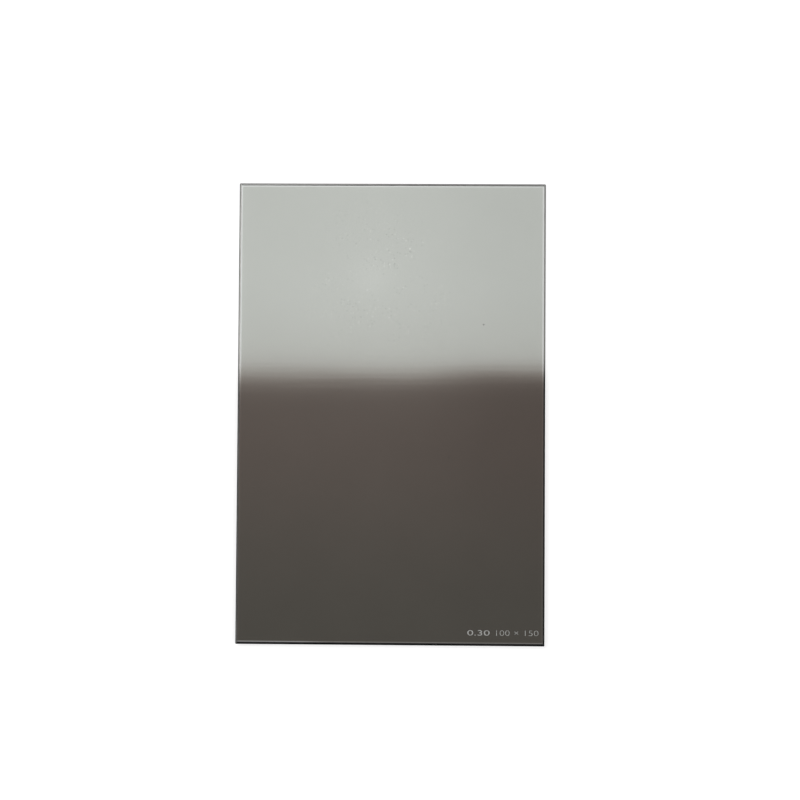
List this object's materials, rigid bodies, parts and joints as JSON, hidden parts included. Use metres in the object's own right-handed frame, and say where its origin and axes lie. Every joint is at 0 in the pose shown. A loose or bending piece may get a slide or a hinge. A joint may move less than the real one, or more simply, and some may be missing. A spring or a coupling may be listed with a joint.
{
  "type": "graduated neutral density filter",
  "caption": "Flat rectangular resin filter plate for a slot-in camera filter holder, pale grey at one end and dyed dark grey at the other, with bevelled edges.",
  "frame": {"origin": "centre of the back face, which the plate lies on", "axes": "+Z out of the front face, +Y along the plate towards its clear end, +X to the right of the front face with the clear end up"},
  "size_m": [0.1, 0.15, 0.002],
  "materials": {
    "dyed_resin": "polished",
    "ink": "satin"
  },
  "bodies": {
    "root": {"filter_plate": "dyed_resin"}
  },
  "joints": []
}
